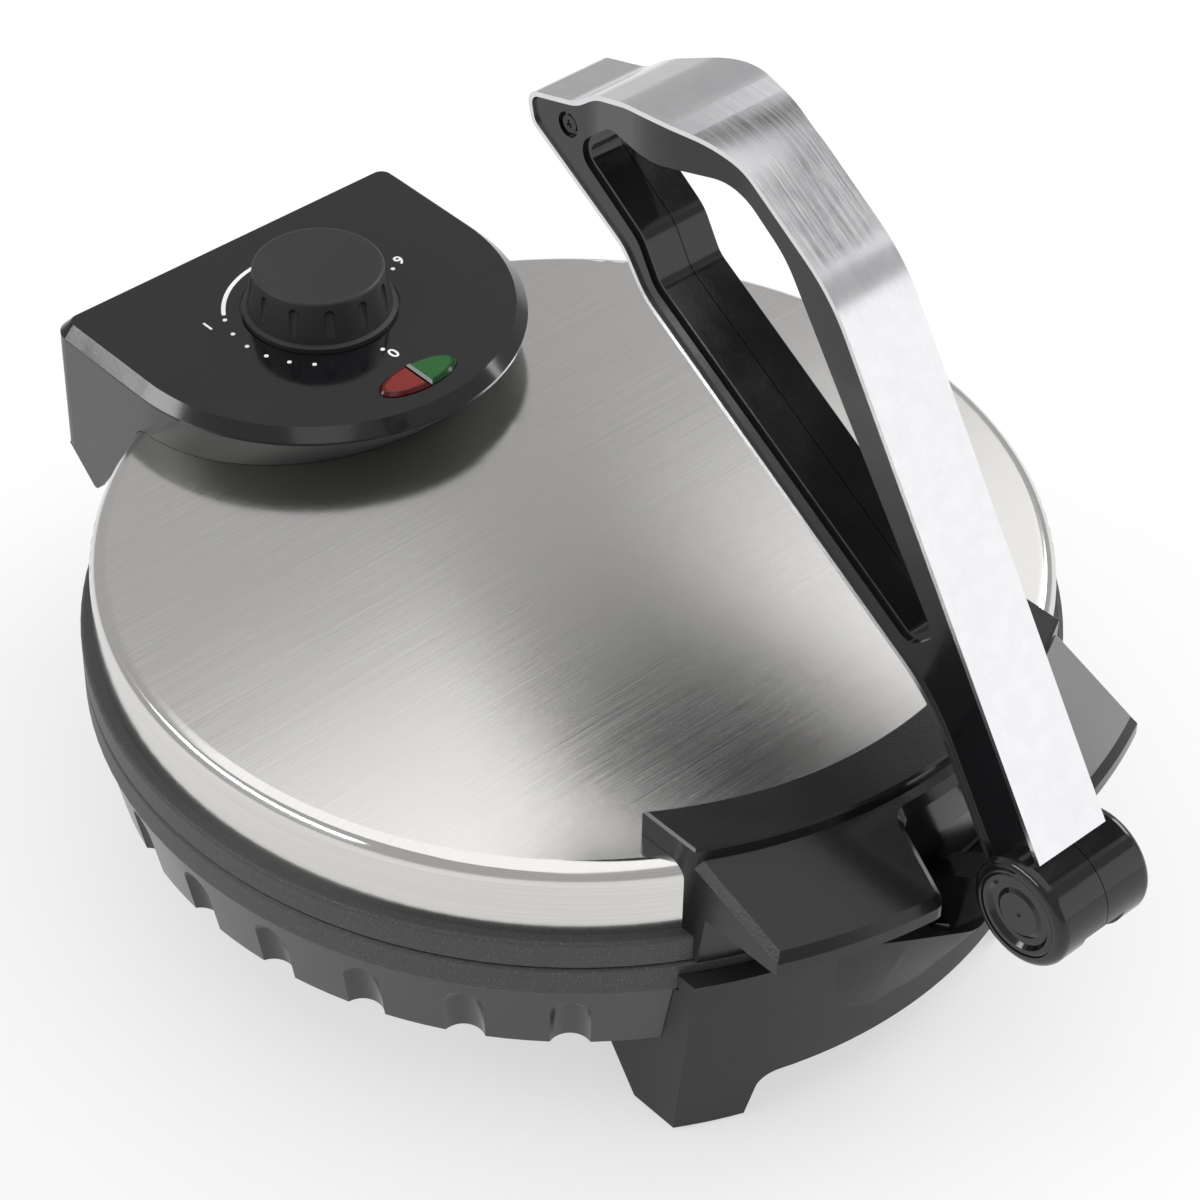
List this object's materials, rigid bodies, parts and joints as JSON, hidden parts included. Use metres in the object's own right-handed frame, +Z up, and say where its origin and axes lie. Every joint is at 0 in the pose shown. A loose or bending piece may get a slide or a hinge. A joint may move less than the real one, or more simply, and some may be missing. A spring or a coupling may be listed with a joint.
{
  "type": "electric roti maker",
  "caption": "Round electric roti maker with hinged steel lid, control box with turning knob and lamps, and a press lever with a hand opening pivoted on the front pedestal.",
  "frame": {"origin": "on the table, under the middle of the bounding box", "axes": "+X to the right of someone facing the lever, +Y to the back (control box and hinge), +Z up"},
  "size_m": [0.3288, 0.4241, 0.3149],
  "materials": {
    "skirt_plastic": "smooth, dark grey",
    "pedestal_plastic": "fine spark texture, black",
    "box_plastic": "satin, dark grey black",
    "gloss_black": "high gloss black",
    "satin_black": "satin black",
    "knob_plastic": "fine matt black",
    "coated_plate": "speckled non-stick coat on cast aluminium",
    "brushed_cover": "brushed along X",
    "polished_band": "polished",
    "plated_steel": "zinc plated",
    "tray_aluminium": "mill finish sheet",
    "pad_rubber": "matt",
    "pale_phenolic": "moulded phenolic",
    "red_lens": "transparent red",
    "green_lens": "transparent green",
    "white_print": "printed white"
  },
  "bodies": {
    "base": {"base_housing": "skirt_plastic", "bottom_cover": "skirt_plastic", "base_screws": "plated_steel", "front_pedestal": "pedestal_plastic", "rear_pedestal": "pedestal_plastic", "hinge_pins": "plated_steel", "foot_pads": "pad_rubber", "cord_gland": "pad_rubber", "lever_tongue": "gloss_black", "lever_pin": "plated_steel", "lower_plate": "coated_plate", "lower_element": "plated_steel", "lower_tray": "tray_aluminium", "terminal_block": "pale_phenolic"},
    "lid": {"steel_cover": "brushed_cover", "upper_plate": "coated_plate", "upper_element": "plated_steel", "upper_tray": "tray_aluminium", "control_box": "box_plastic", "control_panel": "gloss_black", "dial_marks": "white_print", "lens_red": "red_lens", "lens_green": "green_lens", "lamp_holder": "pale_phenolic", "thermostat": "pale_phenolic", "front_handle": "satin_black", "hinge_arm_left": "plated_steel", "hinge_arm_right": "plated_steel", "hinge_cheeks": "box_plastic"},
    "knob": {"knob": "knob_plastic", "knob_shaft": "plated_steel"},
    "lever": {"lever_band": "polished_band", "lever_half_left": "gloss_black", "lever_half_right": "gloss_black", "hub_cap_left": "gloss_black", "hub_cap_right": "gloss_black", "lever_screws": "plated_steel"}
  },
  "joints": [
    {"name": "lid_open", "type": "hinge", "parent": "base", "child": "lid", "pos_m": [0, 0.20205, 0.084], "axis": [-1, 0, 0], "range_deg": [0, 90]},
    {"name": "lever_swing", "type": "hinge", "parent": "base", "child": "lever", "pos_m": [0, -0.19375, 0.1167], "axis": [1, 0, 0], "range_deg": [0, 101]},
    {"name": "knob_turn", "type": "hinge", "parent": "lid", "child": "knob", "pos_m": [0, 0.15665, 0.136], "axis": [0, 0, -1], "range_deg": [0, 270]}
  ],
  "couplings": [
    {"joint": "lever_swing", "follows": "lid_open", "ratio": 1.12}
  ]
}
